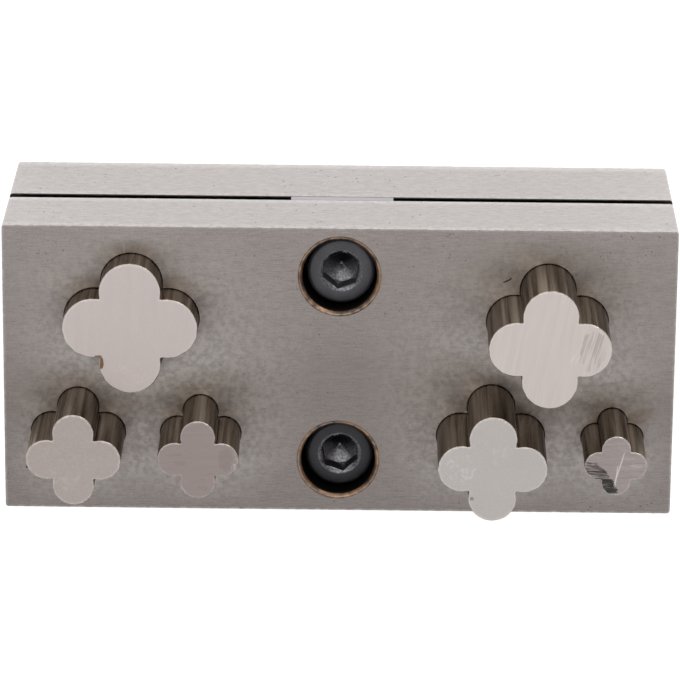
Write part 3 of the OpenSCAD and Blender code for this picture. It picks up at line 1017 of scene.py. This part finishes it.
def make_white_metal():
    """The strip: soft and nearly white, with marks of the file along it."""
    made, tree, shader = new_material("white_metal")
    lines = use(tree, STREAKS, Vector=lines_vector(tree, 3.0, 0.2), Broad_share=0.5)
    colour = blend(tree, lines, (0.34, 0.325, 0.352), (0.43, 0.413, 0.447))
    dress(tree, shader, Base_Color=colour, Metallic=0.7, Roughness=spread(tree, lines, 0, 1, 0.45, 0.6))
    return made


def make_pin_steel():
    """Ground pins, with rings from the centreless grinder."""
    made, tree, shader = new_material("pin_steel")
    rings = use(tree, STREAKS, Vector=placed(tree, size_mm=(4.0, 4.0, 0.15)), Broad_share=0.3)
    colour = blend(tree, rings, (0.42, 0.42, 0.43), (0.56, 0.56, 0.57))
    dress(tree, shader, Base_Color=colour, Metallic=1.0, Roughness=spread(tree, rings, 0, 1, 0.22, 0.36))
    return made


# %% [markdown]
# ## Black oxide
#
# A screw is blackened in hot salts and then oiled. The skin is thin, dark and a little blue, smoother
# where the tools have rubbed it, and it shines softly on the flat of the head.

# %% Black oxide
def make_black_oxide(name, tone):
    """A blackened screw or washer. tone is how light the skin is."""
    made, tree, shader = new_material(name)
    grain = noise(tree, placed(tree, size_mm=(0.25, 0.25, 0.25)), 4.0)
    cloud = noise(tree, placed(tree, size_mm=(2.2, 2.2, 2.2)), 2.0)
    both = spread(tree, node(tree, "Mix", {0: 0.5, 2: grain, 3: cloud}).outputs[0], 0.35, 0.65)
    dark, light = (tuple(tone * share * tint for tint in (1.0, 1.01, 1.14)) for share in (0.72, 1.15))
    colour = blend(tree, both, dark, light)
    bump = node(tree, "Bump", {"Height": grain, "Distance": 0.000012, "Strength": 0.5})
    dress(tree, shader, Base_Color=colour, Metallic=0.6, Roughness=spread(tree, cloud, 0.3, 0.7, 0.36, 0.52),
          Normal=bump.outputs[0])
    return made


def make_turned_black():
    """The cone at the bottom of the socket and the rim round it: turned, so a light spreads in a bow tie."""
    made, tree, shader = new_material("black_turned")
    grain = noise(tree, placed(tree, size_mm=(0.3, 0.3, 0.3)), 4.0)
    colour = blend(tree, spread(tree, grain, 0.35, 0.65), (0.07, 0.07, 0.078), (0.17, 0.17, 0.185))
    dress(tree, shader, Base_Color=colour, Metallic=1.0, Roughness=0.26, Anisotropic=0.85,
          Tangent=line_direction(tree))
    return made


# %% [markdown]
# ## Punches
#
# The sides of a punch are dark and olive, the colour of steel that has been hardened and left in oil,
# with lines along it from the wire. The struck face is bare, and each one has its own tone and its own
# marks, because each was filed by hand: the angle, the length and the depth of the lines are set for
# each punch, and a rim that has been hammered is frosted and pale. Bare metal turns bright when it is seen
# along its surface. The scale on the sides stops that, so the tint there at a grazing angle is half grey.

# %% Punches' finishes
GRAZING_TINT = (0.44, 0.42, 0.40)


def make_punch_side():
    """The long sides of the punches."""
    made, tree, shader = new_material("punch_side")
    lines = use(tree, STREAKS, Vector=placed(tree, size_mm=(0.2, 0.2, 9.0)), Broad_share=0.75)
    wear = use(tree, WEAR, Vector=placed(tree, size_mm=(0.5, 0.5, 0.5)), Edge=edge_number(tree))
    colour = blend(tree, lines, (0.155, 0.126, 0.099), (0.48, 0.412, 0.346))
    colour = blend(tree, math_node(tree, "MULTIPLY", wear, 0.5), colour, (0.6, 0.57, 0.54))
    bump = node(tree, "Bump", {"Height": lines, "Distance": 0.00001, "Strength": 0.6})
    dress(tree, shader, Base_Color=colour, Metallic=1.0, Roughness=spread(tree, lines, 0, 1, 0.22, 0.36),
          Specular_Tint=GRAZING_TINT, Normal=bump.outputs[0])
    return made


# Marks on the struck faces. Each has its middle from the punch's own, its direction and half lengths, then
# the direction, length and width of its file lines, how much of it they fill, its depth and its colour.
FACE_MARKS = {
    "punch_back_left": [
        ((-4.3, -5.3), 90, (1.2, 0.5), 0, 0.5, 0.2, 0.8, 0.9, (0.16, 0.085, 0.03)),
        ((-4.7, -4.4), 10, (0.8, 0.3), 0, 0.3, 0.2, 0.7, 0.8, (0.20, 0.12, 0.05)),
        ((-6.0, 2.5), 40, (4.0, 2.2), 0, 0.8, 0.8, 0.15, 0.3, (0.66, 0.59, 0.48)),
        ((0.5, -7.0), 0, (4.5, 2.6), 0, 0.5, 0.5, 0.18, 0.35, (0.72, 0.66, 0.56)),
    ],
    "punch_back_right": [
        ((6.2, 0.0), 80, (4.6, 2.6), 76, 5.0, 0.22, 0.30, 0.55, (0.36, 0.32, 0.30)),
        ((2.8, -1.5), 60, (5.0, 2.0), 60, 3.0, 0.5, 0.1, 0.30, (0.80, 0.75, 0.72)),
    ],
    "punch_front_left": [
        ((-1.5, -2.5), 30, (4.5, 3.0), 0, 1.5, 1.0, 0.15, 0.40, (0.56, 0.51, 0.49)),
    ],
    "punch_front_inner_left": [
        ((4.1, 0.0), 90, (2.2, 1.3), 90, 1.0, 0.3, 0.7, 0.35, (0.25, 0.21, 0.20)),
        ((-3.4, -0.3), 0, (2.6, 1.9), 4, 2.5, 0.14, 0.15, 0.6, (0.24, 0.20, 0.19)),
        ((0.0, -4.2), 0, (2.4, 2.2), 4, 2.5, 0.14, 0.12, 0.6, (0.25, 0.21, 0.20)),
        ((5.3, -0.6), 80, (2.2, 0.5), 0, 0.25, 0.25, 0.15, 0.6, (0.75, 0.72, 0.70)),
    ],
    "punch_front_inner_right": [
        ((-4.6, 0.2), 0, (3.4, 3.2), 0, 0.6, 0.6, 0.18, 0.45, (0.66, 0.66, 0.65)),
        ((0.0, 3.5), 0, (4.4, 4.0), 0, 1.2, 1.2, 0.12, 0.35, (0.60, 0.60, 0.58)),
        ((-3.0, -4.6), 0, (0.35, 0.3), 0, 0.5, 0.5, 0.9, 0.6, (0.16, 0.12, 0.11)),
    ],
    "punch_front_right": [
        ((-2.5, -1.9), -48, (4.2, 2.1), -4, 2.6, 0.14, 0.40, 0.92, (0.045, 0.045, 0.045)),
        ((-0.9, -3.4), -60, (1.9, 1.4), -4, 2.4, 0.16, 0.48, 0.92, (0.035, 0.035, 0.035)),
        ((2.2, 0.2), 0, (2.6, 1.6), 8, 2.0, 0.14, 0.15, 0.5, (0.62, 0.58, 0.57)),
        ((0.5, -0.4), 74, (3.2, 0.12), 0, 2.0, 2.0, 1.0, 0.8, (0.66, 0.62, 0.60)),
        ((0.1, -1.6), 84, (2.0, 0.10), 0, 2.0, 2.0, 1.0, 0.7, (0.70, 0.66, 0.64)),
    ],
}


def face_mark(tree, punch, centre_mm, turn_deg, half_mm, line_deg, length_mm, width_mm, fill):
    """Where one mark shows: file lines inside a soft-edged oval."""
    at = middle(punch) + np.array(centre_mm)
    oval = patch(tree, tuple(at), turn_deg, half_mm)
    place = placed(tree, (*at, 0), line_deg, (length_mm, width_mm, 1000))
    lines = use(tree, STREAKS, Vector=place, Broad_share=0.4)
    gaps = math_node(tree, "MULTIPLY", math_node(tree, "SUBTRACT", 1.0, lines), 0.9)
    filled = spread(tree, math_node(tree, "SUBTRACT", oval, gaps), 0.75 - fill, 1.0 - fill)
    return math_node(tree, "MULTIPLY", filled, spread(tree, oval, 0.0, 0.2))


def make_struck_face(punch, tone, turn_deg, length_mm, width_mm, contrast, frost):
    """One punch's struck face.

    tone is its colour, turn_deg the direction of its file lines, contrast how far they darken it, and
    frost how pale its hammered rim is.
    """
    made, tree, shader = new_material("face_of_" + punch)
    centre = (*middle(punch), 0)
    place = placed(tree, centre, turn_deg, (length_mm, width_mm, 1000))
    lines = use(tree, STREAKS, Vector=place, Broad_share=0.45)
    grain = noise(tree, placed(tree, size_mm=(0.3, 0.3, 0.3)), 5.0)
    wear = use(tree, WEAR, Vector=placed(tree, size_mm=(0.5, 0.5, 0.5)), Edge=edge_number(tree))
    dark = tuple(value * (1 - contrast) for value in tone)
    light = tuple(value * (1 + 0.4 * contrast) for value in tone)
    colour = blend(tree, lines, dark, light)
    colour = blend(tree, spread(tree, grain, 0.4, 0.7, 0.0, 0.25 * frost), colour, (0.74, 0.73, 0.72))
    colour = blend(tree, math_node(tree, "MULTIPLY", wear, 0.1 + 0.5 * frost), colour, (0.80, 0.78, 0.76))
    for *shape, depth, stain in FACE_MARKS[punch]:
        mark = math_node(tree, "MULTIPLY", face_mark(tree, punch, *shape), depth)
        colour = blend(tree, mark, colour, stain)
    bump = node(tree, "Bump", {"Height": lines, "Distance": 0.000004, "Strength": 0.5})
    dress(tree, shader, Base_Color=colour, Metallic=0.75, Roughness=spread(tree, lines, 0, 1, 0.5, 0.62),
          Normal=bump.outputs[0])
    return made


FACE_FINISH = {
    "punch_back_left": ((0.60, 0.545, 0.530), 88, 7.0, 0.30, 0.05, 0.45),
    "punch_back_right": ((0.655, 0.605, 0.585), 80, 6.0, 0.22, 0.08, 0.1),
    "punch_front_left": ((0.445, 0.395, 0.377), 10, 2.0, 0.60, 0.05, 0.45),
    "punch_front_inner_left": ((0.345, 0.295, 0.285), 3, 3.0, 0.20, 0.10, 0.1),
    "punch_front_inner_right": ((0.525, 0.500, 0.488), 0, 1.5, 0.80, 0.04, 0.6),
    "punch_front_right": ((0.385, 0.338, 0.330), 4, 3.0, 0.16, 0.25, 0.3),
}

ground_steel = make_ground_steel()
wire_cut = make_wire_cut()
browned = make_counterbore()
white_metal = make_white_metal()
pin_steel = make_pin_steel()
punch_side = make_punch_side()
SCREW_TONE = {"cap_screw_back": 0.095, "cap_screw_front": 0.044}
turned_black = make_turned_black()
washer_black = make_black_oxide("black_washer", 0.05)

for plate in (guide_plate, die_plate):
    for made in (ground_steel, wire_cut, browned):
        plate.data.materials.append(made)
spacer_strip.data.materials.append(white_metal)
for screw, (name, tone) in zip(cap_screws, SCREW_TONE.items()):
    screw.data.materials.append(make_black_oxide("black_" + name, tone))
    screw.data.materials.append(turned_black)
for name, punch in punches.items():
    punch.data.materials.append(punch_side)
    punch.data.materials.append(make_struck_face(name, *FACE_FINISH[name]))
    punch.data.materials.append(ground_steel)
for name, made in {"spring_washer_back": washer_black, "spring_washer_front": washer_black,
                   "dowel_pin_left": pin_steel, "dowel_pin_right": pin_steel}.items():
    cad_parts[name].data.materials.clear()
    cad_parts[name].data.materials.append(made)

# %% [markdown]
# ## Floor and light
#
# The block lies on a plain white floor. The floor's own light is added only for the camera and for
# reflections, so that it looks white, also in the steel, and still takes the block's soft shadow. Seen from
# below it is clear, so that the underside can be looked at. The light is one large soft lamp behind the
# block, a narrow one beside it that draws a bright line down each round lobe, and a pale room that is
# brighter near the horizon than overhead, where it is also a little warmer.

# %% Floor
FLOOR_RADIUS = 12.0
FLOOR_GLOW = 0.56


def build_floor():
    """A wide white disc at the height of the block's underside."""
    turn = np.linspace(0, 2 * math.pi, 64, endpoint=False)
    mesh = bpy.data.meshes.new("floor")
    points = np.column_stack([FLOOR_RADIUS * np.cos(turn), FLOOR_RADIUS * np.sin(turn), np.zeros(64)])
    mesh.from_pydata(points.tolist(), [], [list(range(64))])
    floor = bpy.data.objects.new("floor", mesh)
    bpy.context.scene.collection.objects.link(floor)
    made = bpy.data.materials.new("floor")
    made.use_nodes = True
    made.cycles.emission_sampling = "NONE"
    tree = made.node_tree
    tree.nodes.clear()
    ray = node(tree, "LightPath")
    seen = math_node(tree, "MAXIMUM", ray.outputs["Is Camera Ray"], ray.outputs["Is Glossy Ray"])
    seen = math_node(tree, "MAXIMUM", seen, ray.outputs["Is Transmission Ray"])
    glow = node(tree, "Emission", {"Strength": math_node(tree, "MULTIPLY", seen, FLOOR_GLOW)})
    paint = node(tree, "BsdfDiffuse", {"Color": (0.8, 0.8, 0.8, 1)})
    above = node(tree, "AddShader", {0: paint.outputs[0], 1: glow.outputs[0]})
    clear = node(tree, "BsdfTransparent")
    below = node(tree, "NewGeometry").outputs["Backfacing"]
    both = node(tree, "MixShader", {0: below, 1: above.outputs[0], 2: clear.outputs[0]})
    node(tree, "OutputMaterial", {"Surface": both.outputs[0]})
    mesh.materials.append(made)


build_floor()

# %% Light
ROOM_HORIZON = 1.05
ROOM_OVERHEAD = 0.76


def build_room():
    """A pale room, whose brightness falls from the horizon to overhead."""
    world = bpy.data.worlds.new("studio")
    bpy.context.scene.world = world
    world.use_nodes = True
    tree = world.node_tree
    up = node(tree, "SeparateXYZ", {0: node(tree, "TexCoord").outputs["Generated"]}).outputs["Z"]
    strength = spread(tree, up, 0.15, 0.75, ROOM_HORIZON, ROOM_OVERHEAD)
    colour = blend(tree, spread(tree, up, 0.3, 0.9), (1.0, 1.0, 1.0), (1.0, 0.955, 0.935))
    tree.links.new(strength, tree.nodes["Background"].inputs["Strength"])
    tree.links.new(colour, tree.nodes["Background"].inputs["Color"])


def softbox(name, place, target, size, power):
    """A large soft lamp that isn't seen itself."""
    data = bpy.data.lights.new(name, "AREA")
    data.shape = "RECTANGLE"
    data.size, data.size_y = size
    data.energy = power
    lamp = bpy.data.objects.new(name, data)
    lamp.location = place
    lamp.rotation_euler = (Vector(target) - Vector(place)).to_track_quat("-Z", "Y").to_euler()
    lamp.visible_camera = False
    bpy.context.scene.collection.objects.link(lamp)


build_room()
softbox("key", (-0.15, 0.55, 0.75), (0, 0, 0.02), (0.9, 0.6), 2.2)
softbox("strip", (0.50, 0.75, 0.25), (0, 0, 0.03), (0.12, 0.5), 1.6)

bpy.context.scene.view_settings.view_transform = "Standard"
